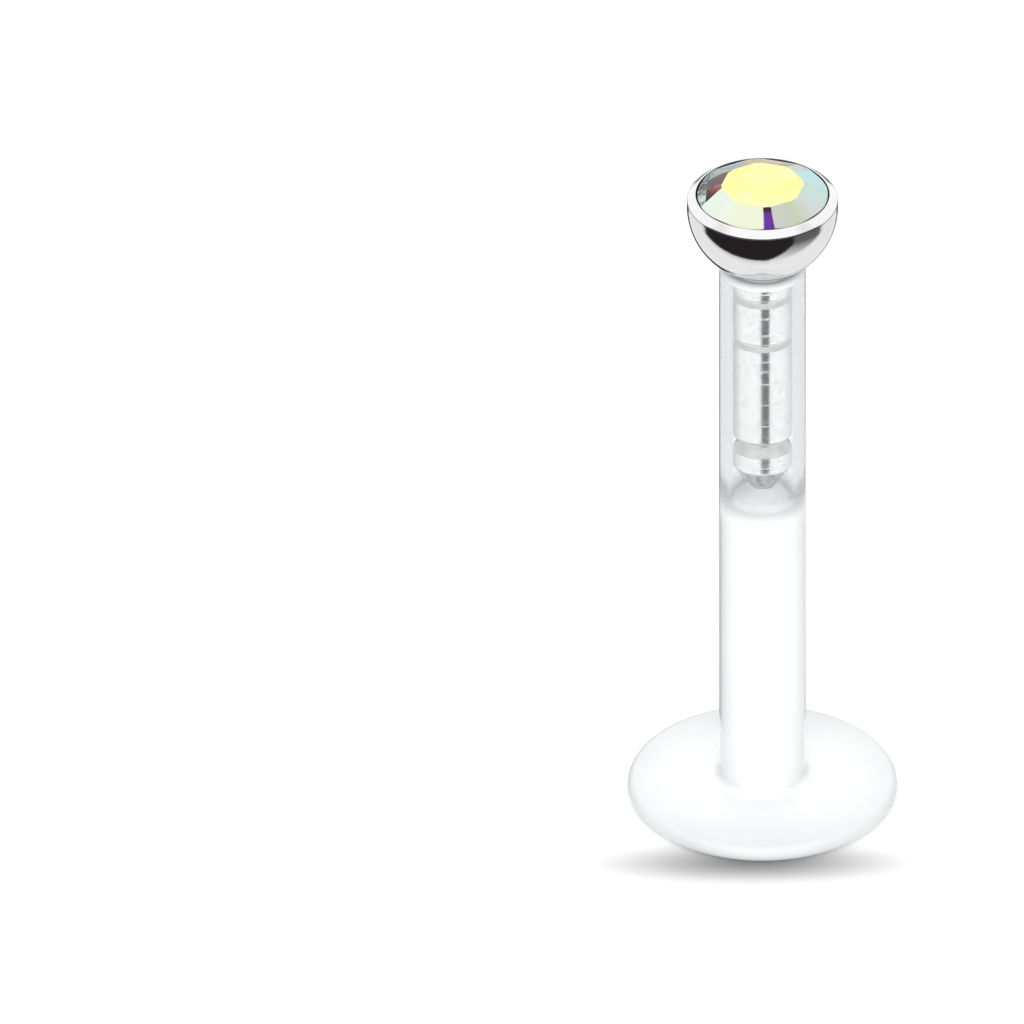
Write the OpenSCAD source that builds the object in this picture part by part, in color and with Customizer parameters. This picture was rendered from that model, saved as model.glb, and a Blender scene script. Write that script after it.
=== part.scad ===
// Push-in labret stud: a polymer bar with a flat round base, and a steel top whose
// notched pin pushes into the bar and whose cup holds a cut crystal.
// Millimetres. The stud stands on its base, with the bar along +Z.

/* [Bar] */
// Diameter of the bar, 16 gauge
bar_d = 1.2; // [1.1:0.05:1.6]
// Length of the bar, from the middle of the base's top to its open end
bar_len = 8.4; // [6:0.1:12]
// Rounding of the outer edge at the bar's open end
bar_edge_r = 0.08; // [0.02:0.01:0.1]
// Fillet where the bar meets its base
foot_fillet_r = 0.13; // [0.05:0.01:0.3]

/* [Base] */
// Diameter of the flat round base
base_d = 3.75; // [3:0.05:5]
// Thickness of the base at its rounded edge
base_edge_t = 0.22; // [0.15:0.01:0.4]
// Rise of the base's top, from its edge to its middle
base_crown = 0.08; // [0.02:0.01:0.2]

/* [Pin] */
// Diameter of the pin
pin_d = 0.815; // [0.7:0.005:0.9]
// Length of the pin, from the underside of the cup to its tip
pin_len = 3.49; // [2:0.05:5]
// Diameter of the flat at the pin's tip
pin_tip_d = 0.31; // [0.2:0.01:0.5]
// Length of the cone that leads to the tip
pin_cone_len = 0.4; // [0.15:0.01:0.5]
// Depth of the two round notches near the cup
round_notch_depth = 0.055; // [0.03:0.005:0.08]
// Width of the two round notches
round_notch_w = 0.125; // [0.08:0.005:0.2]
// Depth of the sharp notch near the tip
sharp_notch_depth = 0.125; // [0.05:0.005:0.15]
// Width of the sharp notch
sharp_notch_w = 0.25; // [0.15:0.01:0.3]

/* [Fits] */
// Gap all round between the pin and the bar's bore
pin_gap = 0.025; // [0.01:0.005:0.05]
// Depth of the bore beyond the pin's tip
bore_spare = 0.25; // [0.1:0.05:0.6]
// Chamfer at the mouth of the bore
mouth_chamfer = 0.04; // [0.02:0.01:0.06]
// Gap between the underside of the cup and the mouth of the bore
seat_gap = 0.02; // [0.01:0.01:0.1]
// Gap between the crystal and the cup
stone_gap = 0.02; // [0.01:0.005:0.03]

/* [Cup] */
// Diameter of the cup
cup_d = 2.09; // [1.9:0.01:2.6]
// Height of the upright band between the bowl and the rim
cup_band_h = 0.11; // [0.05:0.01:0.3]
// Width of the bevelled rim, seen from above
rim_w = 0.123; // [0.08:0.001:0.2]
// Rise of the rim's bevel, from its outer to its inner edge
rim_rise = 0.1; // [0.05:0.01:0.2]

/* [Crystal] */
// Depth of the girdle's top below the rim's inner edge
girdle_sink = 0.01; // [0:0.005:0.04]
// Height of the girdle, the upright edge all round the crystal
girdle_h = 0.09; // [0.08:0.005:0.14]
// Height of the crown, from the girdle to the table
crown_h = 0.14; // [0.08:0.01:0.3]
// Diameter of the table, across its corners
table_d = 1.15; // [0.8:0.01:1.4]
// Depth of the pavilion, from the girdle to the small flat culet
pavilion_h = 0.62; // [0.4:0.01:0.64]
// Diameter of the culet
culet_d = 0.12; // [0.06:0.01:0.2]
// Angle that a narrow crown facet spans; a wide one takes the rest of its share
narrow_facet_deg = 10.4; // [6:0.2:20]
// Direction of the middle of the first narrow facet
first_facet_deg = 275.8; // [0:0.1:360]

/* [Hidden] */
$fn = 96;

// Facet pairs round the crystal, one wide and one narrow in each
FACET_PAIRS = 8;
// Places of the two round notches and the sharp one, as shares of the pin's length from the cup
ROUND_NOTCHES_AT = [0.085, 0.29];
SHARP_NOTCH_AT = 0.775;
// How far a cut runs past the face that it opens, and a joined form into its neighbour
CUT_PAST = 0.1;
// Steps round the large circle of the base's crowned top
CROWN_FN = 720;

bar_r = bar_d / 2;
base_r = base_d / 2;
pin_r = pin_d / 2;
bore_r = pin_r + pin_gap;
mouth_r = bore_r + mouth_chamfer;
cup_r = cup_d / 2;
rim_inner_r = cup_r - rim_w;
crystal_r = rim_inner_r - stone_gap;

// Heights from the base's underside up
base_edge_r = base_edge_t / 2;
base_flat_r = base_r - base_edge_r;
base_t = base_edge_t + base_crown;
bar_top_z = base_t + bar_len;
cup_z = bar_top_z + seat_gap + sqrt(pow(cup_r, 2) - pow(mouth_r, 2));
band_top_z = cup_z + cup_band_h;
rim_top_z = band_top_z + rim_rise;
pin_foot_z = cup_z - cup_r;
pin_tip_z = pin_foot_z - pin_len;
pin_root_z = cup_z - sqrt(pow(cup_r, 2) - pow(pin_r, 2)) + CUT_PAST;
bore_floor_z = pin_tip_z - bore_spare;

girdle_top_z = rim_top_z - girdle_sink;
girdle_z = girdle_top_z - girdle_h;
table_z = girdle_top_z + crown_h;
culet_z = girdle_z - pavilion_h;
// The seat follows the girdle and the pavilion, a gap further out and down, to a point
seat_slope = pavilion_h / (crystal_r - culet_d / 2);
seat_shoulder_z = girdle_z - stone_gap;
seat_tip_z = seat_shoulder_z - rim_inner_r * seat_slope;

// Radius of the large circle whose top is the crowned face of the base
crown_circle_r = (pow(base_flat_r, 2) + pow(base_crown, 2)) / (2 * base_crown);
function crowned_top_z(r) = base_t - crown_circle_r + sqrt(pow(crown_circle_r, 2) - pow(r, 2));

// Half of the base's section: a flat underside, a crowned top and a half-round edge
module base_section() {
    intersection() {
        square([base_flat_r, base_t]);
        translate([0, base_t - crown_circle_r]) circle(crown_circle_r, $fn = CROWN_FN);
    }
    translate([base_flat_r, base_edge_r]) circle(base_edge_r);
}

// Half of the bar's section, solid, with its rounded outer edge at the open end
module bar_section() {
    square([bar_r, bar_top_z - bar_edge_r]);
    square([bar_r - bar_edge_r, bar_top_z]);
    translate([bar_r - bar_edge_r, bar_top_z - bar_edge_r]) circle(bar_edge_r);
}

// The fillet between the bar and the base
module foot_fillet_section() {
    fillet_z = crowned_top_z(bar_r + foot_fillet_r);
    difference() {
        translate([bar_r - foot_fillet_r, fillet_z]) square([2 * foot_fillet_r, foot_fillet_r]);
        translate([bar_r + foot_fillet_r, fillet_z + foot_fillet_r]) circle(foot_fillet_r);
    }
}

// The blind bore, with its chamfered mouth
module bore_section() {
    translate([0, bore_floor_z]) square([bore_r, bar_top_z + CUT_PAST - bore_floor_z]);
    polygon([
        [0, bar_top_z - mouth_chamfer],
        [bore_r, bar_top_z - mouth_chamfer],
        [mouth_r, bar_top_z],
        [mouth_r, bar_top_z + CUT_PAST],
        [0, bar_top_z + CUT_PAST]
    ]);
}

// Half of the cup's section, solid: a round bowl, an upright band and a bevelled rim
module cup_section() {
    intersection() {
        translate([0, cup_z]) circle(cup_r);
        translate([0, pin_foot_z]) square([cup_r, cup_r]);
    }
    translate([0, cup_z]) square([cup_r, cup_band_h]);
    polygon([[0, band_top_z], [cup_r, band_top_z], [rim_inner_r, rim_top_z], [0, rim_top_z]]);
}

// The crystal's seat: a straight wall below the rim and a cone under the pavilion
module seat_section() {
    translate([0, seat_shoulder_z])
        square([rim_inner_r, rim_top_z + CUT_PAST - seat_shoulder_z]);
    polygon([[0, seat_tip_z], [rim_inner_r, seat_shoulder_z], [0, seat_shoulder_z]]);
}

// Half of the pin's section without its notches, reaching up into the cup
module pin_section() {
    polygon([
        [0, pin_tip_z],
        [pin_tip_d / 2, pin_tip_z],
        [pin_r, pin_tip_z + pin_cone_len],
        [pin_r, pin_root_z],
        [0, pin_root_z]
    ]);
}

// What the notches take away from the pin's section
module notches_section() {
    notch_circle_r = (pow(round_notch_w / 2, 2) + pow(round_notch_depth, 2)) / (2 * round_notch_depth);
    for (share = ROUND_NOTCHES_AT)
        translate([pin_r + notch_circle_r - round_notch_depth, pin_foot_z - share * pin_len])
            circle(notch_circle_r);
    translate([pin_r, pin_foot_z - SHARP_NOTCH_AT * pin_len])
        polygon([[-sharp_notch_depth, 0], [0, -sharp_notch_w / 2], [0, sharp_notch_w / 2]]);
}

// Takes away all that lies beyond a flat through the points (r1, z1) and (r2, z2) of the
// section at one direction; side is 1 for a facet that faces up and -1 for one that faces down
module grind(direction_deg, r1, z1, r2, z2, side) {
    tilt_deg = side * atan2(r1 - r2, abs(z2 - z1));
    block = 2 * cup_d;
    rotate([0, 0, direction_deg])
        translate([r1, 0, z1])
            rotate([0, -tilt_deg, 0])
                translate([0, -block / 2, -block / 2])
                    cube(block);
}

// Grinds the crown and pavilion facets of one width, spanning an angle each
module grind_facets(first_deg, span_deg) {
    facet_share = cos(span_deg / 2);
    for (k = [0:FACET_PAIRS - 1]) {
        direction_deg = first_deg + k * 360 / FACET_PAIRS;
        grind(direction_deg, crystal_r * facet_share, girdle_top_z,
            table_d / 2 * facet_share, table_z, 1);
        grind(direction_deg, crystal_r * facet_share, girdle_z,
            culet_d / 2 * facet_share, culet_z, -1);
    }
}

module bar() {
    color("white")
        rotate_extrude()
            difference() {
                union() {
                    base_section();
                    bar_section();
                    foot_fillet_section();
                }
                bore_section();
            }
}

module cup_and_pin() {
    color("silver")
        rotate_extrude()
            difference() {
                union() {
                    cup_section();
                    pin_section();
                }
                seat_section();
                notches_section();
            }
}

module crystal() {
    pair_deg = 360 / FACET_PAIRS;
    color("lightyellow")
        difference() {
            translate([0, 0, culet_z]) cylinder(r = crystal_r, h = table_z - culet_z);
            grind_facets(first_facet_deg, narrow_facet_deg);
            grind_facets(first_facet_deg + pair_deg / 2, pair_deg - narrow_facet_deg);
        }
}

bar();
cup_and_pin();
crystal();
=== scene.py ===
import math

import bpy
from mathutils import Matrix, Vector


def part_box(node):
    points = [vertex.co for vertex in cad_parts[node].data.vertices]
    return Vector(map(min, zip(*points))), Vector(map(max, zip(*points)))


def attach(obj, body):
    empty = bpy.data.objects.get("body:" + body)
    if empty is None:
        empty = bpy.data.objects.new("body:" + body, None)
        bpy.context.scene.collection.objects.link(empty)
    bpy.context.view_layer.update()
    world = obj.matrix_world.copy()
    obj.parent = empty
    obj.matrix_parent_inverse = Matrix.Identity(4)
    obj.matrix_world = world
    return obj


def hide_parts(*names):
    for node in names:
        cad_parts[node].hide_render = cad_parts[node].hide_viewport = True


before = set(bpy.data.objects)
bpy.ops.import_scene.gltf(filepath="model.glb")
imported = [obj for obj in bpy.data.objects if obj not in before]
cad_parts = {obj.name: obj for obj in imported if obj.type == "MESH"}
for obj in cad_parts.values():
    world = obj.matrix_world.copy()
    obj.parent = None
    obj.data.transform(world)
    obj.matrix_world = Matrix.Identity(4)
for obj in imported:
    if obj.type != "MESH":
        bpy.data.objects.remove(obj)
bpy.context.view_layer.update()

MM = 0.001

# Sizes that the frame gives
_, bar_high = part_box("bar")
top_low, top_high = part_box("cup_and_pin")
crystal_low, crystal_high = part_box("crystal")
BASE_R = bar_high[0]
BAR_TOP_Z = bar_high[2]
PIN_TIP_Z = top_low[2]
CUP_R = top_high[0]
CULET_Z = crystal_low[2]
TABLE_Z = crystal_high[2]

# Bar and base
BAR_R = 0.6 * MM
BAR_EDGE_R = 0.08 * MM
FOOT_FILLET_R = 0.13 * MM
BASE_EDGE_T = 0.22 * MM
BASE_EDGE_STEPS = 22
BASE_CROWN = 0.08 * MM
BASE_CROWN_STEPS = 12
BORE_R = 0.4325 * MM
MOUTH_R = 0.4725 * MM
MOUTH_CORNER_R = 0.01 * MM
BORE_FLOOR_Z = PIN_TIP_Z - 0.25 * MM
BORE_CORNER_R = 0.05 * MM
POLYMER_IOR = 1.36
# The polymer turns from milky to clear between these heights
THIN_WALL_FROM_Z = BORE_FLOOR_Z - 0.1 * MM
THIN_WALL_TO_Z = PIN_TIP_Z + 0.1 * MM

# Pin, with its notches and tool rings at shares of its length, counted down from the cup
PIN_R = 0.4075 * MM
PIN_LEN = 3.49 * MM
PIN_FOOT_Z = PIN_TIP_Z + PIN_LEN
PIN_TIP_R = 0.155 * MM
PIN_TIP_EDGE_R = 0.02 * MM
PIN_CONE_LEN = 0.4 * MM
PIN_SHOULDER_R = 0.06 * MM
ROUND_NOTCHES_AT = (0.085, 0.29)
ROUND_NOTCH_DEPTH = 0.055 * MM
ROUND_NOTCH_W = 0.125 * MM
ROUND_NOTCH_CORNER_R = 0.018 * MM
SHARP_NOTCH_AT = 0.775
SHARP_NOTCH_DEPTH = 0.125 * MM
SHARP_NOTCH_W = 0.25 * MM
SHARP_NOTCH_CORNER_R = 0.012 * MM
TOOL_RINGS_AT = (0.035, 0.15, 0.23, 0.355, 0.4, 0.46, 0.56, 0.66, 0.86)
TOOL_RING_DEPTH = 0.005 * MM
TOOL_RING_W = 0.03 * MM
TOOL_RING_CORNER_R = 0.004 * MM

# Cup. CUP_Z is the middle of its round bowl, and NECK_Z is where the pin meets the bowl.
CUP_Z = PIN_FOOT_Z + CUP_R
NECK_Z = CUP_Z - math.sqrt(CUP_R**2 - PIN_R**2)
BOWL_STEPS = 56
CUP_BAND_H = 0.11 * MM
RIM_W = 0.123 * MM
RIM_RISE = 0.1 * MM
RIM_EDGE_R = 0.03 * MM
RIM_INNER_EDGE_R = 0.012 * MM
STONE_GAP = 0.02 * MM

# Crystal
CRYSTAL_R = CUP_R - RIM_W - STONE_GAP
CROWN_H = 0.14 * MM
GIRDLE_H = 0.09 * MM
GIRDLE_TOP_Z = TABLE_Z - CROWN_H
GIRDLE_Z = GIRDLE_TOP_Z - GIRDLE_H
TABLE_R = 0.575 * MM
CULET_R = 0.06 * MM
FACET_PAIRS = 8
NARROW_FACET_DEG = 10.4
FIRST_FACET_DEG = 275.8
# An edge is rounded, to this width, where its facets turn by more than this angle
FACET_EDGE_OVER_DEG = 4.0
FACET_EDGE_W = 0.006 * MM

# Sides of a turned piece, and steps round each of its rounded corners
TURNED_SIDES = 192
CORNER_STEPS = 8
# A short face beside each rounded corner, which keeps the long faces evenly lit
CORNER_MARGIN = 0.008 * MM
# Points nearer than these count as one, while a shape is made and once it is done
SAME_POINT = 1e-9
MERGE_REACH = 1e-7


def deselect_all():
    """Goes back to object mode, with nothing selected."""
    if bpy.context.object and bpy.context.object.mode != "OBJECT":
        bpy.ops.object.mode_set(mode="OBJECT")
    bpy.ops.object.select_all(action="DESELECT")


def settle(piece, smooth_deg=30.0):
    """Merges doubles, turns the faces outwards, smooths round faces and puts the origin at 0."""
    deselect_all()
    bpy.context.view_layer.objects.active = piece
    piece.select_set(True)
    bpy.ops.object.mode_set(mode="EDIT")
    bpy.ops.mesh.select_all(action="SELECT")
    bpy.ops.mesh.remove_doubles(threshold=MERGE_REACH)
    bpy.ops.mesh.normals_make_consistent(inside=False)
    bpy.ops.object.mode_set(mode="OBJECT")
    bpy.ops.object.transform_apply(location=True, rotation=True, scale=True)
    bpy.ops.object.shade_smooth_by_angle(angle=math.radians(smooth_deg))
    return piece


def rounded_outline(corners):
    """An outline of (radius, height) points from corners of (radius, height, rounding)."""
    places = [Vector(corner[:2]) for corner in corners]
    points = [places[0]]
    for i in range(1, len(corners) - 1):
        rounding = corners[i][2]
        here = places[i]
        if rounding == 0.0:
            points.append(here)
            continue
        back = (places[i - 1] - here).normalized()
        ahead = (places[i + 1] - here).normalized()
        half = back.angle(ahead) / 2
        leg = rounding / math.tan(half)
        centre = here + (back + ahead).normalized() * rounding / math.sin(half)
        start = here + back * leg - centre
        end = here + ahead * leg - centre
        sweep = math.pi - 2 * half
        # The margins are left out where the straight beside the corner is short
        if (points[-1] - here).length > leg + 3 * CORNER_MARGIN:
            points.append(here + back * (leg + CORNER_MARGIN))
        for k in range(CORNER_STEPS + 1):
            share = k / CORNER_STEPS
            near = math.sin((1 - share) * sweep) * start
            far = math.sin(share * sweep) * end
            points.append(centre + (near + far) / math.sin(sweep))
        if (places[i + 1] - here).length > leg + 6 * CORNER_MARGIN:
            points.append(here + ahead * (leg + CORNER_MARGIN))
    points.append(places[-1])
    return points


def arc(centre_r, centre_z, radius, start_deg, end_deg, steps):
    """Corners along an arc, with no rounding of their own."""
    angles = [math.radians(start_deg + (end_deg - start_deg) * k / steps) for k in range(steps + 1)]
    return [
        (centre_r + radius * math.cos(a), centre_z + radius * math.sin(a), 0.0) for a in angles
    ]


def turned(name, corners):
    """Draws the outline point by point as one chain of edges, and spins it round the Z axis."""
    points = rounded_outline(corners)
    deselect_all()
    bpy.ops.mesh.primitive_plane_add(size=MM)
    piece = bpy.context.object
    piece.name = name
    bpy.ops.object.mode_set(mode="EDIT")
    bpy.ops.mesh.select_all(action="SELECT")
    bpy.ops.mesh.merge(type="CENTER")
    bpy.ops.transform.translate(value=(points[0].x, 0.0, points[0].y))
    for last, point in zip(points, points[1:]):
        step = point - last
        if step.length < SAME_POINT:
            continue
        bpy.ops.mesh.extrude_region_move(TRANSFORM_OT_translate={"value": (step.x, 0.0, step.y)})
    bpy.ops.mesh.select_all(action="SELECT")
    bpy.ops.mesh.spin(
        steps=TURNED_SIDES, angle=2 * math.pi, center=(0.0, 0.0, 0.0), axis=(0.0, 0.0, 1.0)
    )
    return settle(piece)


def bar_corners():
    """Round the base, up the bar, over its open end and down the blind bore."""
    edge_r = BASE_EDGE_T / 2
    flat_r = BASE_R - edge_r
    circle_r = (flat_r**2 + BASE_CROWN**2) / (2 * BASE_CROWN)
    top_z = BASE_EDGE_T + BASE_CROWN

    def crowned_z(r):
        return top_z - circle_r + math.sqrt(circle_r**2 - r**2)

    foot_r = BAR_R + 2 * FOOT_FILLET_R
    inwards = (foot_r - flat_r) / BASE_CROWN_STEPS
    crown_radii = [flat_r + inwards * k for k in range(1, BASE_CROWN_STEPS + 1)]
    corners = [(0.0, 0.0, 0.0), (flat_r, 0.0, 0.0)]
    # The round edge starts about a step past the end of the flat underside
    corners += arc(flat_r, edge_r, edge_r, -82, 90, BASE_EDGE_STEPS)
    corners += [(r, crowned_z(r), 0.0) for r in crown_radii]
    corners += [
        (BAR_R, crowned_z(BAR_R), FOOT_FILLET_R),
        (BAR_R, BAR_TOP_Z, BAR_EDGE_R),
        (MOUTH_R, BAR_TOP_Z, MOUTH_CORNER_R),
        (BORE_R, BAR_TOP_Z - (MOUTH_R - BORE_R), MOUTH_CORNER_R),
        (BORE_R, BORE_FLOOR_Z, BORE_CORNER_R),
        (0.0, BORE_FLOOR_Z, 0.0),
    ]
    return corners


def notch(at, depth, width, corner_r):
    """Corners of a V-shaped notch in the pin, from its lower edge up."""
    z = PIN_FOOT_Z - at * PIN_LEN
    return [
        (PIN_R, z - width / 2, corner_r),
        (PIN_R - depth, z, corner_r),
        (PIN_R, z + width / 2, corner_r),
    ]


def cup_and_pin_corners():
    """Up the pin with its notches and tool rings, round the cup, and down into its seat."""
    corners = [
        (0.0, PIN_TIP_Z, 0.0),
        (PIN_TIP_R, PIN_TIP_Z, PIN_TIP_EDGE_R),
        (PIN_R, PIN_TIP_Z + PIN_CONE_LEN, PIN_SHOULDER_R),
    ]
    cuts = [(at, TOOL_RING_DEPTH, TOOL_RING_W, TOOL_RING_CORNER_R) for at in TOOL_RINGS_AT]
    cuts += [
        (at, ROUND_NOTCH_DEPTH, ROUND_NOTCH_W, ROUND_NOTCH_CORNER_R) for at in ROUND_NOTCHES_AT
    ]
    cuts.append((SHARP_NOTCH_AT, SHARP_NOTCH_DEPTH, SHARP_NOTCH_W, SHARP_NOTCH_CORNER_R))
    for at, depth, width, corner_r in sorted(cuts, reverse=True):
        corners += notch(at, depth, width, corner_r)
    neck_deg = -math.degrees(math.acos(PIN_R / CUP_R))
    corners += arc(0.0, CUP_Z, CUP_R, neck_deg, 0, BOWL_STEPS)
    band_top_z = CUP_Z + CUP_BAND_H
    rim_r = CUP_R - RIM_W
    shoulder_z = GIRDLE_Z - STONE_GAP
    seat_slope = (GIRDLE_Z - CULET_Z) / (CRYSTAL_R - CULET_R)
    corners += [
        (CUP_R, band_top_z, RIM_EDGE_R),
        (rim_r, band_top_z + RIM_RISE, RIM_INNER_EDGE_R),
        (rim_r, shoulder_z, 0.0),
        (0.0, shoulder_z - rim_r * seat_slope, 0.0),
    ]
    return corners


def grind(direction_deg, point, other, up):
    """Cuts the crystal flat through two (radius, height) points at one direction.

    up is 1 for a facet that faces up and -1 for one that faces down."""
    direction = math.radians(direction_deg)
    run = point[0] - other[0]
    rise = abs(other[1] - point[1])
    outwards = Vector((math.cos(direction), math.sin(direction), 0.0))
    normal = outwards * rise + Vector((0.0, 0.0, up * run))
    bpy.ops.mesh.select_all(action="SELECT")
    bpy.ops.mesh.bisect(
        plane_co=outwards * point[0] + Vector((0.0, 0.0, point[1])),
        plane_no=normal.normalized(),
        use_fill=True,
        clear_outer=True,
        threshold=SAME_POINT,
    )


def cut_crystal():
    """A round blank, ground flat facet by facet: crown facets above, pavilion facets below."""
    deselect_all()
    bpy.ops.mesh.primitive_cylinder_add(
        vertices=TURNED_SIDES,
        radius=CRYSTAL_R,
        depth=TABLE_Z - CULET_Z,
        location=(0.0, 0.0, (TABLE_Z + CULET_Z) / 2),
    )
    piece = bpy.context.object
    piece.name = "cut_crystal"
    bpy.ops.object.mode_set(mode="EDIT")
    pair_deg = 360 / FACET_PAIRS
    facets = (
        (FIRST_FACET_DEG, NARROW_FACET_DEG),
        (FIRST_FACET_DEG + pair_deg / 2, pair_deg - NARROW_FACET_DEG),
    )
    for first_deg, span_deg in facets:
        reach = math.cos(math.radians(span_deg / 2))
        for k in range(FACET_PAIRS):
            direction_deg = first_deg + k * pair_deg
            girdle_r = CRYSTAL_R * reach
            grind(direction_deg, (girdle_r, GIRDLE_TOP_Z), (TABLE_R * reach, TABLE_Z), 1)
            grind(direction_deg, (girdle_r, GIRDLE_Z), (CULET_R * reach, CULET_Z), -1)
    settle(piece, smooth_deg=1.0)
    bevel = piece.modifiers.new("facet_edges", "BEVEL")
    bevel.width = FACET_EDGE_W
    bevel.segments = 2
    bevel.limit_method = "ANGLE"
    bevel.angle_limit = math.radians(FACET_EDGE_OVER_DEG)
    bpy.ops.object.modifier_apply(modifier=bevel.name)
    return piece


class Nodes:
    """A new node material, with short calls for its nodes and links."""

    def __init__(self, name):
        self.material = bpy.data.materials.new(name)
        self.material.use_nodes = True
        self.tree = self.material.node_tree
        self.tree.nodes.clear()
        self.output = self.add("ShaderNodeOutputMaterial")
        self.shader = self.add("ShaderNodeBsdfPrincipled")
        self.link(self.shader.outputs["BSDF"], self.output.inputs["Surface"])
        self.place = self.add("ShaderNodeTexCoord").outputs["Object"]

    def add(self, kind, **settings):
        node = self.tree.nodes.new(kind)
        for key, value in settings.items():
            setattr(node, key, value)
        return node

    def link(self, source, target):
        self.tree.links.new(source, target)

    def put(self, socket, value):
        """Links an output to a socket, or sets the socket to a constant."""
        if isinstance(value, bpy.types.NodeSocket):
            self.link(value, socket)
        elif isinstance(value, tuple) and len(value) == 3 and socket.type == "RGBA":
            socket.default_value = (*value, 1.0)
        else:
            socket.default_value = value

    def math(self, operation, a, b=0.0):
        """One step of arithmetic on outputs or constants."""
        node = self.add("ShaderNodeMath", operation=operation)
        self.put(node.inputs[0], a)
        self.put(node.inputs[1], b)
        return node.outputs[0]

    def stretched(self, scale):
        """The piece's own coordinates, scaled by (x, y, z)."""
        node = self.add("ShaderNodeMapping")
        self.link(self.place, node.inputs["Vector"])
        node.inputs["Scale"].default_value = scale
        return node.outputs["Vector"]

    def noise(self, size, detail=3.0, roughness=0.5, stretch=(1.0, 1.0, 1.0), seed=0.0):
        """Noise whose features are about size metres across."""
        node = self.add("ShaderNodeTexNoise", noise_dimensions="4D")
        self.link(self.stretched(stretch), node.inputs["Vector"])
        node.inputs["W"].default_value = seed
        node.inputs["Scale"].default_value = 1.0 / size
        node.inputs["Detail"].default_value = detail
        node.inputs["Roughness"].default_value = roughness
        return node.outputs["Fac"]

    def spread(self, value, low, high, new_low=0.0, new_high=1.0):
        """Maps low to new_low and high to new_high, and holds them outside that range."""
        node = self.add("ShaderNodeMapRange")
        self.put(node.inputs["Value"], value)
        node.inputs["From Min"].default_value = low
        node.inputs["From Max"].default_value = high
        node.inputs["To Min"].default_value = new_low
        node.inputs["To Max"].default_value = new_high
        return node.outputs["Result"]

    def within(self, value, low, high, soft):
        """1 from low to high, fading to 0 over soft on either side."""
        rise = self.spread(value, low - soft, low)
        return self.math("MULTIPLY", rise, self.spread(value, high, high + soft, 1.0, 0.0))

    def blend(self, share, first, second):
        """The first colour where share is 0, and the second where it is 1."""
        node = self.add("ShaderNodeMix", data_type="RGBA")
        self.put(node.inputs["Factor"], share)
        self.put(node.inputs["A"], first)
        self.put(node.inputs["B"], second)
        return node.outputs["Result"]

    def chart(self, turn, colours):
        """Colours by direction, from rows of (degrees, colour); turn is 1 for a full turn."""
        node = self.add("ShaderNodeValToRGB")
        self.put(node.inputs["Fac"], turn)
        elements = node.color_ramp.elements
        for i, (degrees, colour) in enumerate(colours):
            position = degrees / 360
            element = elements[i] if i < 2 else elements.new(position)
            element.position = position
            element.color = (*colour, 1.0)
        return node.outputs["Color"]

    def axes(self):
        """The piece's own X, Y and Z coordinates."""
        node = self.add("ShaderNodeSeparateXYZ")
        self.link(self.place, node.inputs[0])
        return node.outputs["X"], node.outputs["Y"], node.outputs["Z"]

    def distance(self, x, y):
        """How far (x, y) lies from (0, 0)."""
        squares = self.math("ADD", self.math("MULTIPLY", x, x), self.math("MULTIPLY", y, y))
        return self.math("SQRT", squares)

    def beside(self, x, y, start, end):
        """1 on the left of the line through two points in mm, 0 on its right."""
        along = Vector(end) - Vector(start)
        along.normalize()
        up = self.math("MULTIPLY", self.math("SUBTRACT", y, start[1] * MM), along.x)
        across = self.math("MULTIPLY", self.math("SUBTRACT", x, start[0] * MM), along.y)
        return self.spread(self.math("SUBTRACT", up, across), -0.004 * MM, 0.004 * MM)

    def mix_surface(self, share, first, second):
        """Shows the second shader where share is 1 and the first where it is 0."""
        node = self.add("ShaderNodeMixShader")
        self.put(node.inputs[0], share)
        self.link(first, node.inputs[1])
        self.link(second, node.inputs[2])
        self.link(node.outputs[0], self.output.inputs["Surface"])

    def bump(self, height, depth):
        """Bump from a height of 0 to 1 that stands for depth metres."""
        node = self.add("ShaderNodeBump")
        node.inputs["Distance"].default_value = depth
        node.inputs["Strength"].default_value = 1.0
        self.link(height, node.inputs["Height"])
        self.link(node.outputs["Normal"], self.shader.inputs["Normal"])

    def set(self, **values):
        """Sets the shader's sockets by name, with _ for a space."""
        for key, value in values.items():
            self.put(self.shader.inputs[key.replace("_", " ")], value)


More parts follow.
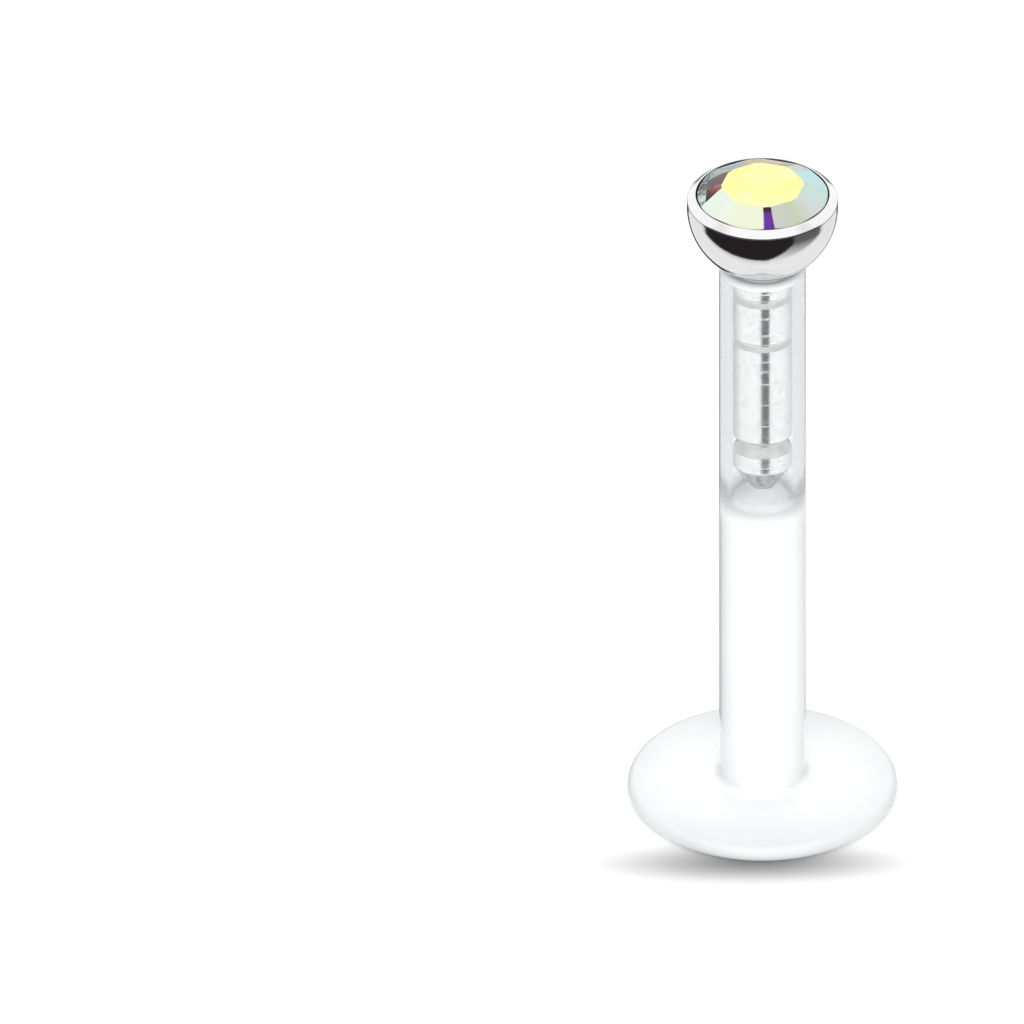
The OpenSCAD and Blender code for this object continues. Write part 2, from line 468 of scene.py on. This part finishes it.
def moulded_polymer():
    """White polymer: milky where it is solid, see-through where the bore leaves a thin wall."""
    m = Nodes("moulded_polymer")
    x, y, height = m.axes()

    # Clear from the bore's floor up, and milky again at the open end
    thin_wall = m.spread(height, THIN_WALL_FROM_Z, THIN_WALL_TO_Z)
    end_face = m.spread(height, BAR_TOP_Z - 0.1 * MM, BAR_TOP_Z - 0.06 * MM, 1.0, 0.0)
    clearness = m.math("MULTIPLY", thin_wall, end_face)
    clouding = m.spread(m.noise(0.9 * MM, detail=4.0), 0.35, 0.65)
    milky = m.blend(clouding, (0.82, 0.835, 0.855), (0.86, 0.865, 0.87))

    # Painted light: the base is painted whitest at its thick middle and left greyer towards its
    # sides, for how the light falls on it
    out = m.distance(x, y)
    low = m.spread(height, 0.3 * MM, 0.38 * MM, 1.0, 0.0)
    middle = m.spread(out, 0.55 * BASE_R, 0.95 * BASE_R, 1.0, 0.0)
    painted_light_middle = m.math("MULTIPLY", low, middle)
    milky = m.blend(painted_light_middle, milky, (0.965, 0.97, 0.975))

    # Painted shade round its edge, darkest underneath, which draws the base's grey outline
    painted_edge_shade = m.spread(out, BASE_R - 0.085 * MM, BASE_R, 0.0, 0.25)
    underneath = m.spread(height, 0.035 * MM, 0.08 * MM, 0.62, 0.0)
    outermost = m.spread(out, BASE_R - 0.11 * MM, BASE_R - 0.09 * MM)
    painted_shade_underneath = m.math("MULTIPLY", underneath, outermost)
    milky = m.blend(m.math("MAXIMUM", painted_edge_shade, painted_shade_underneath), milky, (0.5, 0.51, 0.52))

    flow = m.noise(0.05 * MM, detail=2.0, stretch=(1.0, 1.0, 0.15), seed=3.0)
    m.set(
        Base_Color=m.blend(clearness, milky, (0.88, 0.89, 0.9)),
        Roughness=m.spread(flow, 0.3, 0.7, 0.06, 0.12),
        Transmission_Weight=m.math("MULTIPLY", clearness, 0.9),
        IOR=POLYMER_IOR,
    )
    m.bump(flow, 0.0006 * MM)
    return m.material


def bore_wall():
    """The wall of the bore, left clear and smooth by the core pin of the mould."""
    m = Nodes("bore_wall")
    drag = m.noise(0.04 * MM, detail=2.0, stretch=(1.0, 1.0, 0.1), seed=4.0)
    m.set(
        Base_Color=m.blend(drag, (0.95, 0.96, 0.97), (1.0, 1.0, 1.0)),
        Roughness=m.spread(drag, 0.3, 0.7, 0.0, 0.03),
        Transmission_Weight=1.0,
        IOR=POLYMER_IOR,
    )
    m.bump(drag, 0.0002 * MM)
    return m.material


def polished_steel():
    """Mirror-polished steel, with fine polishing marks and a faint haze."""
    m = Nodes("polished_steel")
    haze = m.noise(0.25 * MM, detail=4.0)
    marks = m.noise(0.02 * MM, detail=2.0, stretch=(1.0, 1.0, 6.0), seed=5.0)
    m.set(
        Base_Color=m.blend(haze, (0.74, 0.74, 0.745), (0.82, 0.82, 0.82)),
        Metallic=1.0,
        Roughness=m.spread(haze, 0.3, 0.7, 0.03, 0.08),
    )
    m.bump(marks, 0.0002 * MM)
    return m.material


def turned_steel():
    """Steel as it comes off the lathe: fine rings round the pin and scuffs from pushing in."""
    m = Nodes("turned_steel")
    rings = m.noise(0.03 * MM, detail=3.0, roughness=0.6, stretch=(0.08, 0.08, 1.0))
    scuffs = m.noise(0.06 * MM, detail=4.0, roughness=0.6, seed=8.0)
    height = m.math("ADD", m.math("MULTIPLY", rings, 0.7), m.math("MULTIPLY", scuffs, 0.3))
    m.set(
        Base_Color=m.blend(m.spread(scuffs, 0.4, 0.7), (0.86, 0.86, 0.85), (0.76, 0.76, 0.75)),
        Metallic=1.0,
        Roughness=m.spread(scuffs, 0.3, 0.7, 0.12, 0.26),
    )
    m.bump(height, 0.004 * MM)
    return m.material


def cut_tip():
    """The pin's tip, cut to a cone and left matt, with streaks down it."""
    m = Nodes("cut_tip")
    streaks = m.noise(0.09 * MM, detail=3.0, roughness=0.6, stretch=(1.0, 1.0, 0.25), seed=9.0)
    m.set(
        Base_Color=m.blend(m.spread(streaks, 0.48, 0.6), (0.97, 0.97, 0.96), (0.6, 0.6, 0.59)),
        Metallic=0.75,
        Roughness=m.spread(streaks, 0.3, 0.7, 0.55, 0.4),
    )
    m.bump(streaks, 0.003 * MM)
    return m.material


def crystal_table():
    """The table: pale yellow of the coating, with soft whitish blotches seen in the stone."""
    m = Nodes("crystal_table")
    blotches = m.spread(m.noise(0.26 * MM, detail=1.0, seed=2.0), 0.58, 0.72)
    warm = m.spread(m.noise(0.35 * MM, detail=1.0, seed=6.0), 0.45, 0.6)
    yellow = m.blend(warm, (0.94, 0.94, 0.34), (0.96, 0.95, 0.43))
    m.set(
        Base_Color=m.blend(blotches, yellow, (0.97, 0.94, 0.66)),
        Roughness=0.04,
        Specular_IOR_Level=0.3,
    )
    return m.material


# Colours of the coating, which also paint the reflections its facets show
MINT = (0.75, 0.85, 0.75)
LIME = (0.75, 0.8, 0.6)
STRAW = (0.8, 0.75, 0.5)
AMBER = (0.8, 0.65, 0.4)
SAND = (0.6, 0.57, 0.5)
ROSE = (0.6, 0.5, 0.55)
SAGE = (0.5, 0.55, 0.5)
MOSS = (0.5, 0.55, 0.4)
MIST = (0.6, 0.65, 0.65)
SEA_GREEN = (0.55, 0.7, 0.65)
AQUA = (0.45, 0.75, 0.75)
BLUE_GREY = (0.5, 0.6, 0.65)
SLATE = (0.3, 0.38, 0.36)
DUSK = (0.15, 0.2, 0.2)
INK = (0.04, 0.08, 0.07)
VIOLET = (0.12, 0.01, 0.3)
NIGHT = (0.04, 0.01, 0.1)

# The first narrow facet, in front, is a violet strip between these directions
STRIP_FROM_DEG = FIRST_FACET_DEG - NARROW_FACET_DEG / 2
STRIP_TO_DEG = FIRST_FACET_DEG + NARROW_FACET_DEG / 2

# Which colour shows in which direction round the crown, in degrees: the coating's tints together
# with painted reflections, the flash each facet shows. They run into each other between two rows,
# and a direction given twice is a sharp edge.
CROWN_COLOURS = (
    (0, SEA_GREEN),
    (22, AQUA),
    (38, AQUA),
    (45, BLUE_GREY),
    (50, SAND),
    (66, SAND),
    (72, STRAW),
    (90, STRAW),
    (106, AMBER),
    (112, BLUE_GREY),
    (128, BLUE_GREY),
    (140, SLATE),
    (184, SLATE),
    (184, MINT),
    (225, MINT),
    (240, LIME),
    (STRIP_FROM_DEG, LIME),
    (STRIP_FROM_DEG, VIOLET),
    (278, VIOLET),
    (STRIP_TO_DEG, NIGHT),
    (STRIP_TO_DEG, ROSE),
    (287, SAGE),
    (308, MOSS),
    (330, MIST),
    (350, SEA_GREEN),
)

# The same for the crackled part at the crown's left
CRACKLED_COLOURS = (
    (133, DUSK),
    (141, SLATE),
    (151, SLATE),
    (158, DUSK),
    (163, SLATE),
    (164, INK),
    (173, INK),
    (176, SLATE),
    (184, SLATE),
    (191, SEA_GREEN),
    (197, SAGE),
    (202, MINT),
)
# Size of its cracked cells, and how far noise bends their edges along X, Y and Z
CRACK_CELL = 0.16 * MM
CRACK_BEND = (0.1 * MM, 0.06 * MM, 0.1 * MM)
# A point on its inner edge at the back, near the rim, in mm
CRACKLED_BACK = (-0.604, 0.611)

# Corners of the dark facet at the crown's left, in mm, painted as a dark reflection, and its
# flashes, painted glints of colour: place and radius in mm, and colour
DARK_FACET = ((-0.789, -0.26), (-0.537, -0.048), (-0.506, 0.374), (-0.756, 0.306))
DARK_FACET_FLASHES = (
    ((-0.56, 0.3), 0.22, (0.11, 0.06, 0.02)),
    ((-0.77, -0.2), 0.2, (0.03, 0.02, 0.01)),
    ((-0.68, 0.13), 0.12, (0.07, 0.03, 0.11)),
    ((-0.67, -0.05), 0.08, (0.28, 0.03, 0.045)),
    ((-0.6, -0.01), 0.07, (0.42, 0.1, 0.03)),
)


def crystal_crown():
    """The crown facets: the coating's colours with painted reflections and flashes, charted by
    direction and radius.
    """
    m = Nodes("crystal_crown")
    x, y, _ = m.axes()
    turns = m.math("DIVIDE", m.math("ARCTAN2", y, x), 2 * math.pi)
    turn = m.math("FRACT", m.math("ADD", turns, 1.0))
    degrees = m.math("MULTIPLY", turn, 360.0)
    out = m.math("DIVIDE", m.distance(x, y), CRYSTAL_R)
    wobble = m.noise(0.07 * MM, detail=2.0, seed=21.0)
    colours = m.chart(turn, CROWN_COLOURS)

    # Darker at the far edge, where the rim shades it
    far_edge = m.math("MULTIPLY", m.within(degrees, 62.0, 130.0, 17.0), m.spread(out, 0.96, 0.978))
    colours = m.blend(m.math("MULTIPLY", far_edge, 0.8), colours, (0.06, 0.09, 0.1))

    # The crackled part at the left
    front_left, front_right, back_right, back_left = DARK_FACET
    above = m.beside(x, y, front_left, front_right)
    inside = m.beside(x, y, back_left, front_left)
    inner = m.math("MULTIPLY", inside, m.beside(x, y, CRACKLED_BACK, back_left))
    cracks = m.add("ShaderNodeTexVoronoi", feature="DISTANCE_TO_EDGE")
    bent = m.add("ShaderNodeVectorMath", operation="MULTIPLY_ADD")
    m.put(bent.inputs[0], wobble)
    bent.inputs[1].default_value = CRACK_BEND
    m.link(m.place, bent.inputs[2])
    m.link(bent.outputs[0], cracks.inputs["Vector"])
    cracks.inputs["Scale"].default_value = 1 / CRACK_CELL
    lines = m.spread(cracks.outputs["Distance"], 0.0, 0.1, 0.1, 1.0)
    crackled = m.blend(lines, (0.01, 0.02, 0.02), m.chart(turn, CRACKLED_COLOURS))
    # Painted glints: light patches scattered over the crackled part
    bright = m.spread(m.noise(0.05 * MM, detail=2.0, seed=15.0), 0.6, 0.68, 0.0, 0.5)
    crackled = m.blend(bright, crackled, (0.62, 0.7, 0.66))
    outer = m.spread(inner, 0.0, 1.0, 1.0, 0.0)
    colours = m.blend(m.math("MULTIPLY", above, outer), colours, crackled)

    # The dark facet beside it: a painted dark reflection, with painted glints of colour
    dark = m.blend(m.spread(wobble, 0.4, 0.6), (0.05, 0.02, 0.02), (0.085, 0.035, 0.025))
    for place, radius, colour in DARK_FACET_FLASHES:
        from_x = m.math("SUBTRACT", x, place[0] * MM)
        from_y = m.math("SUBTRACT", y, place[1] * MM)
        reach = m.math("DIVIDE", m.distance(from_x, from_y), radius * MM)
        ragged = m.math("ADD", reach, m.spread(wobble, 0.3, 0.7, -0.45, 0.45))
        dark = m.blend(m.spread(ragged, 0.4, 1.1, 1.0, 0.0), dark, colour)
    below = m.beside(x, y, back_right, back_left)
    dark_facet = m.math("MULTIPLY", above, m.math("MULTIPLY", inside, below))
    at_left = m.spread(x, -0.3 * MM, -0.2 * MM, 1.0, 0.0)
    colours = m.blend(m.math("MULTIPLY", dark_facet, at_left), colours, dark)

    # The violet strip is near black where it meets the table
    strip = m.within(degrees, STRIP_FROM_DEG, STRIP_TO_DEG, 0.1)
    strip_head = m.math("MULTIPLY", strip, m.spread(out, 0.7, 0.75, 1.0, 0.0))
    colours = m.blend(strip_head, colours, (0.02, 0.006, 0.012))
    m.set(Base_Color=colours, Roughness=0.05, Specular_IOR_Level=0.3)
    return m.material


def crystal_foil():
    """The girdle and the foiled pavilion, mostly hidden in the cup."""
    m = Nodes("crystal_foil")
    cloud = m.noise(0.1 * MM)
    m.set(
        Base_Color=m.blend(cloud, (0.4, 0.42, 0.4), (0.62, 0.64, 0.62)),
        Metallic=0.8,
        Roughness=0.25,
    )
    return m.material


# The soft blot of shadow on the floor in front of the base: its middle and its half axes
BLOT_X = -0.15 * MM
BLOT_Y = -1.85 * MM
BLOT_HALF_W = 3.0 * MM
BLOT_HALF_DEPTH = 0.72 * MM


def pale_floor():
    """Plain pale floor with a soft blot of shadow; mirrors and the clear wall show it white."""
    m = Nodes("pale_floor")
    x, y, _ = m.axes()
    across = m.math("DIVIDE", m.math("SUBTRACT", x, BLOT_X), BLOT_HALF_W)
    along = m.math("DIVIDE", m.math("SUBTRACT", y, BLOT_Y), BLOT_HALF_DEPTH)
    blot = m.spread(m.distance(across, along), 0.0, 1.0, 1.0, 0.0)
    blot = m.math("MULTIPLY", m.math("MULTIPLY", blot, blot), m.spread(blot, 0.0, 1.0, 3.0, 1.0))
    shade = m.blend(blot, (0.9, 0.9, 0.9), (0.27, 0.27, 0.27))
    m.set(Base_Color=shade, Roughness=0.9, Specular_IOR_Level=0.0)
    m.set(Emission_Color=shade, Emission_Strength=0.2)

    # That white is brighter in front and far behind, and brighter still off the pin in the bar
    even = m.add("ShaderNodeEmission")
    light_path = m.add("ShaderNodeLightPath").outputs
    far = m.spread(y, 60 * MM, 250 * MM, 0.0, 0.4)
    level = m.math("ADD", m.spread(y, -8 * MM, 8 * MM, 1.05, 0.95), far)
    off_pin = m.spread(light_path["Transmission Depth"], 3.0, 4.0, 1.0, 1.4)
    m.put(even.inputs["Strength"], m.math("MULTIPLY", level, off_pin))
    m.mix_surface(light_path["Is Glossy Ray"], m.shader.outputs["BSDF"], even.outputs[0])
    return m.material


def reflection_card_surface(m, shade, cover, cover_off_pin):
    """Gives a card its shade, painted into reflections alone; rays pass through the card until they
    have been reflected.

    cover is how much of it bare surfaces show, and cover_off_pin how much the pin shows in the
    bar, where a ray passes a face of the clear wall four times."""
    light_path = m.add("ShaderNodeLightPath").outputs
    glow = m.add("ShaderNodeEmission")
    m.put(glow.inputs["Color"], shade)
    clear = m.add("ShaderNodeBsdfTransparent")
    bare = m.spread(light_path["Transmission Depth"], 0.0, 1.0, 1.0, 0.0)
    off_pin = m.spread(light_path["Transmission Depth"], 3.0, 4.0)
    cover = m.math("MULTIPLY", cover, bare)
    cover = m.math("ADD", cover, m.math("MULTIPLY", cover_off_pin, off_pin))
    reflected = m.math("GREATER_THAN", light_path["Glossy Depth"], 0.5)
    m.mix_surface(m.math("MULTIPLY", reflected, cover), clear.outputs[0], glow.outputs[0])
    return m.material


# The black part of the painted reflections on the floor card, in mm: it starts at the curve y =
# BEND * x * x - FRONT, and ends at REACH from the bar's axis
CRESCENT_BEND = 0.0335
CRESCENT_FRONT = 6.27
CRESCENT_REACH = 22.0


def painted_floor_reflections():
    """The painted reflections on the floor card, which only reflections show: its shade, and how
    much it covers.
    """
    m = Nodes("painted_floor_reflections")
    x, y, _ = m.axes()
    x = m.math("DIVIDE", x, MM)
    y = m.math("DIVIDE", y, MM)
    away = m.distance(x, y)

    # Black in front beyond the curve, a painted reflection that shows as the dark crescent on the
    # bowl, with a haze before it
    bend = m.math("MULTIPLY", m.math("MULTIPLY", x, x), CRESCENT_BEND)
    beyond = m.math("SUBTRACT", m.math("SUBTRACT", bend, CRESCENT_FRONT), y)
    haze = m.spread(beyond, -2.4, 0.0, 0.0, 0.28)
    crescent = m.math("MAXIMUM", haze, m.spread(beyond, 0.0, 0.12))
    near_bar = m.spread(away, CRESCENT_REACH, CRESCENT_REACH + 1.0, 1.0, 0.0)
    crescent = m.math("MULTIPLY", crescent, near_bar)

    # It turns grey at the right, on the bar's side of a slanting line
    line = m.math("ADD", m.math("ADD", m.math("MULTIPLY", x, 0.404), y), 6.14)
    right_part = m.math("MULTIPLY", m.spread(line, -0.1, 0.5), m.spread(x, 1.0, 1.5))
    shade = m.blend(right_part, (0.024, 0.018, 0.02), m.spread(away, 7.7, 15.7, 0.75, 0.12))

    # Dark straight behind, painted to show as thin dark reflected outlines on the round pieces
    ray_length = m.math("DIVIDE", m.add("ShaderNodeLightPath").outputs["Ray Length"], MM)
    off_back = m.math("MULTIPLY", m.math("ARCTAN2", m.math("ABSOLUTE", x), y), 180 / math.pi)
    near = m.math("MULTIPLY", m.spread(away, 0.3, 0.31), m.spread(away, 50.0, 60.0, 1.0, 0.0))
    behind = m.math("MULTIPLY", m.spread(off_back, 27.0, 31.0, 1.0, 0.0), near)

    # Wider than that for what is low down, and all round further out, for the rim
    from_low = m.spread(ray_length, 8.3, 8.7, 1.0, 0.0)
    beside_bar = m.math("MULTIPLY", m.spread(off_back, 40.0, 100.0, 1.0, 0.0), from_low)
    far = m.math("MULTIPLY", m.spread(away, 20.5, 21.5), m.spread(off_back, 31.0, 36.0))
    cover = m.math("MAXIMUM", crescent, behind)
    cover = m.math("MAXIMUM", cover, m.math("MAXIMUM", far, beside_bar))
    grey_behind = m.math("MULTIPLY", behind, m.spread(away, 17.0, 26.0))
    shade = m.blend(grey_behind, shade, (0.35, 0.33, 0.33))
    shade = m.blend(m.math("MULTIPLY", far, m.spread(away, 21.5, 23.0)), shade, (0.14, 0.13, 0.13))

    # In the bar the pin mirrors it all, darkest from behind, a painted reflection that shades the
    # pin's two sides
    pin_edges = m.math("POWER", m.spread(off_back, 15.0, 105.0, 1.0, 0.0), 1.3)
    return reflection_card_surface(m, shade, cover, pin_edges)


def painted_pin_line_reflection():
    """Black with a ragged left edge, a painted reflection that shows as the dark line down the pin.
    """
    m = Nodes("painted_pin_line_reflection")
    x, _, _ = m.axes()
    wander = m.noise(0.14 * MM, detail=3.0, stretch=(0.0, 1.0, 1.0))
    left_edge = m.spread(wander, 0.35, 0.65, -1.2, 0.2)
    right_of = m.math("SUBTRACT", m.math("DIVIDE", x, MM), left_edge)
    return reflection_card_surface(m, (0.0, 0.0, 0.0), 0.0, m.spread(right_of, 0.0, 0.05))


def card(name, material, low, high):
    """A flat card from corner to corner, seen in reflections alone.

    It lies flat, or stands upright where both corners have the same y."""
    deselect_all()
    bpy.ops.mesh.primitive_plane_add(size=2.0)
    piece = bpy.context.object
    piece.name = name
    low, high = Vector(low), Vector(high)
    for corner in piece.data.vertices:
        across = (1.0 + corner.co.x) / 2
        up = (1.0 + corner.co.y) / 2
        rise = up if low.y == high.y else 0.0
        corner.co = (
            low.x + across * (high.x - low.x),
            low.y + up * (high.y - low.y),
            low.z + rise * (high.z - low.z),
        )
    piece.data.materials.append(material)
    piece.visible_camera = False
    piece.visible_diffuse = False
    piece.visible_shadow = False


def white_room():
    """White for the camera, dark low down in front in reflections, and dim at the sides."""
    world = bpy.data.worlds.new("white_room")
    bpy.context.scene.world = world
    world.use_nodes = True
    tree = world.node_tree
    tree.nodes.clear()

    def add(kind):
        return tree.nodes.new(kind)

    def spread(value, low, high, new_low, new_high):
        node = add("ShaderNodeMapRange")
        tree.links.new(value, node.inputs["Value"])
        ends = {"From Min": low, "From Max": high, "To Min": new_low, "To Max": new_high}
        for key, number in ends.items():
            node.inputs[key].default_value = number
        return node.outputs["Result"]

    def choose(share, first, second):
        node = add("ShaderNodeMix")
        tree.links.new(share, node.inputs["Factor"])
        tree.links.new(first, node.inputs["A"])
        if isinstance(second, float):
            node.inputs["B"].default_value = second
        else:
            tree.links.new(second, node.inputs["B"])
        return node.outputs["Result"]

    axes = add("ShaderNodeSeparateXYZ")
    tree.links.new(add("ShaderNodeTexCoord").outputs["Generated"], axes.inputs[0])
    sideways = add("ShaderNodeMath")
    sideways.operation = "ABSOLUTE"
    tree.links.new(axes.outputs["X"], sideways.inputs[0])
    light_path = add("ShaderNodeLightPath").outputs

    # Light on matt surfaces, and white behind the clear wall, brighter where it lights them
    lit = spread(sideways.outputs[0], 0.25, 0.9, 1.46, 0.18)
    inside = spread(light_path["Diffuse Depth"], 0.0, 1.0, 1.1, 4.0)

    # What mirrors show: in front dark below and white above, and behind white
    seen = spread(light_path["Glossy Depth"], 0.0, 1.0, 0.0, 1.0)
    high = spread(axes.outputs["Z"], 0.55, 0.85, 0.04, 1.52)
    behind = spread(axes.outputs["Y"], -0.1, 0.1, 0.0, 1.0)
    mirrored = choose(behind, high, 1.48)
    # Once a ray has passed into the polymer, that is white all round
    through_polymer = spread(light_path["Transmission Depth"], 0.0, 1.0, 0.0, 1.0)
    high_off_pin = spread(axes.outputs["Z"], 0.55, 0.85, 1.05, 1.45)
    mirrored = choose(through_polymer, mirrored, high_off_pin)

    through = choose(light_path["Is Glossy Ray"], lit, inside)
    level = choose(light_path["Is Camera Ray"], choose(seen, through, mirrored), 1.3)
    background = add("ShaderNodeBackground")
    tree.links.new(level, background.inputs["Strength"])
    tree.links.new(background.outputs[0], add("ShaderNodeOutputWorld").inputs["Surface"])


LAMP_AIM = Vector((0.0, 0.0, 5 * MM))


def softbox(name, width, height, place, power):
    """A soft lamp aimed at the stud, which lights it and doesn't show in reflections."""
    deselect_all()
    bpy.ops.object.light_add(type="AREA", location=place)
    lamp = bpy.context.object
    lamp.name = name
    lamp.data.shape = "RECTANGLE"
    lamp.data.size = width
    lamp.data.size_y = height
    lamp.data.energy = power
    aim = LAMP_AIM - Vector(place)
    lamp.rotation_euler = aim.to_track_quat("-Z", "Y").to_euler()
    lamp.visible_glossy = False
    lamp.visible_transmission = False


def dress(piece, body, node, materials, pick):
    """Gives a piece its materials face by face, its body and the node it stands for."""
    for material in materials:
        piece.data.materials.append(material)
    for face in piece.data.polygons:
        face.material_index = pick(face)
    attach(piece, body)
    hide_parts(node)


def bar_face(face):
    """1 on the wall of the bore, and 0 on all the rest, its floor included."""
    near_axis = math.hypot(face.center.x, face.center.y) < (BORE_R + MOUTH_R) / 2
    return 1 if near_axis and face.center.z > BORE_FLOOR_Z + BORE_CORNER_R else 0


def top_face(face):
    """0 on the cup, 1 on the pin and 2 on the pin's tip."""
    if face.center.z > NECK_Z:
        return 0
    return 1 if face.center.z > PIN_TIP_Z + PIN_CONE_LEN else 2


def crystal_face(face):
    """0 on the table, 1 on the crown and 2 on the girdle and pavilion."""
    if face.normal.z > 0.999:
        return 0
    return 1 if face.normal.z > 0.2 else 2


# Pieces
bar = turned("moulded_bar", bar_corners())
dress(bar, "bar", "bar", [moulded_polymer(), bore_wall()], bar_face)

top = turned("steel_cup_and_pin", cup_and_pin_corners())
steels = [polished_steel(), turned_steel(), cut_tip()]
dress(top, "top", "cup_and_pin", steels, top_face)

crystal = cut_crystal()
finishes = [crystal_table(), crystal_crown(), crystal_foil()]
dress(crystal, "top", "crystal", finishes, crystal_face)

# Floor, just under the base so that the two don't share a plane
FLOOR_SIZE = 600 * MM
FLOOR_Z = -0.002 * MM
deselect_all()
bpy.ops.mesh.primitive_plane_add(size=FLOOR_SIZE, location=(0.0, 0.0, FLOOR_Z))
floor = bpy.context.object
floor.name = "floor"
floor.data.materials.append(pale_floor())

# The card of painted reflections lies on the floor; the strip stands in front, and its painted
# reflection is the dark line down the pin
REFLECTION_CARD_REACH = 290 * MM
REFLECTION_CARD_Z = 0.004 * MM
STRIP_Y = -6 * MM
reflection_card_low = (-REFLECTION_CARD_REACH, -REFLECTION_CARD_REACH, REFLECTION_CARD_Z)
reflection_card_high = (REFLECTION_CARD_REACH, REFLECTION_CARD_REACH, REFLECTION_CARD_Z)
card("floor_card", painted_floor_reflections(), reflection_card_low, reflection_card_high)
card("pin_strip", painted_pin_line_reflection(), (-1.2 * MM, STRIP_Y, 1.3 * MM), (2.6 * MM, STRIP_Y, 6.5 * MM))

# Light
white_room()
softbox("key_behind", 300 * MM, 30 * MM, place=(0.0, 105 * MM, 75 * MM), power=0.04)
softbox("fill_front", 120 * MM, 80 * MM, place=(0.0, -150 * MM, 70 * MM), power=0.12)

bpy.context.scene.view_settings.view_transform = "Standard"

# Camera: near-parallel view from the photo's height above the horizon. The slight roll
# keeps the stud upright in the picture, because it stands to the right of the middle.
PICTURE_PX = 1024
PX_PER_MM = 72.1
CAMERA_ELEVATION_DEG = 33.0
CAMERA_ROLL_DEG = -0.218
LENS_MM = 1500.0
SENSOR_MM = 36.0
AIM_RIGHT = -3.475 * MM
AIM_UP = 3.881 * MM
STUD_MIDDLE_Z = 4.8 * MM

elevation = math.radians(CAMERA_ELEVATION_DEG)
towards_camera = Vector((0.0, -math.cos(elevation), math.sin(elevation)))
picture_right = Vector((1.0, 0.0, 0.0))
picture_up = Vector((0.0, math.sin(elevation), math.cos(elevation)))
aim_point = picture_right * AIM_RIGHT + picture_up * AIM_UP
distance = PICTURE_PX / PX_PER_MM * MM * LENS_MM / SENSOR_MM + STUD_MIDDLE_Z * math.sin(elevation)
bpy.ops.object.camera_add(location=aim_point + towards_camera * distance)
camera = bpy.context.object
camera.name = "camera"
tilt = Matrix.Rotation(math.pi / 2 - elevation, 3, "X")
roll = Matrix.Rotation(math.radians(CAMERA_ROLL_DEG), 3, "Z")
camera.rotation_euler = (tilt @ roll).to_euler()
camera.data.lens = LENS_MM
camera.data.sensor_width = SENSOR_MM
camera.data.clip_start = 0.01
camera.data.clip_end = 5.0
bpy.context.scene.camera = camera
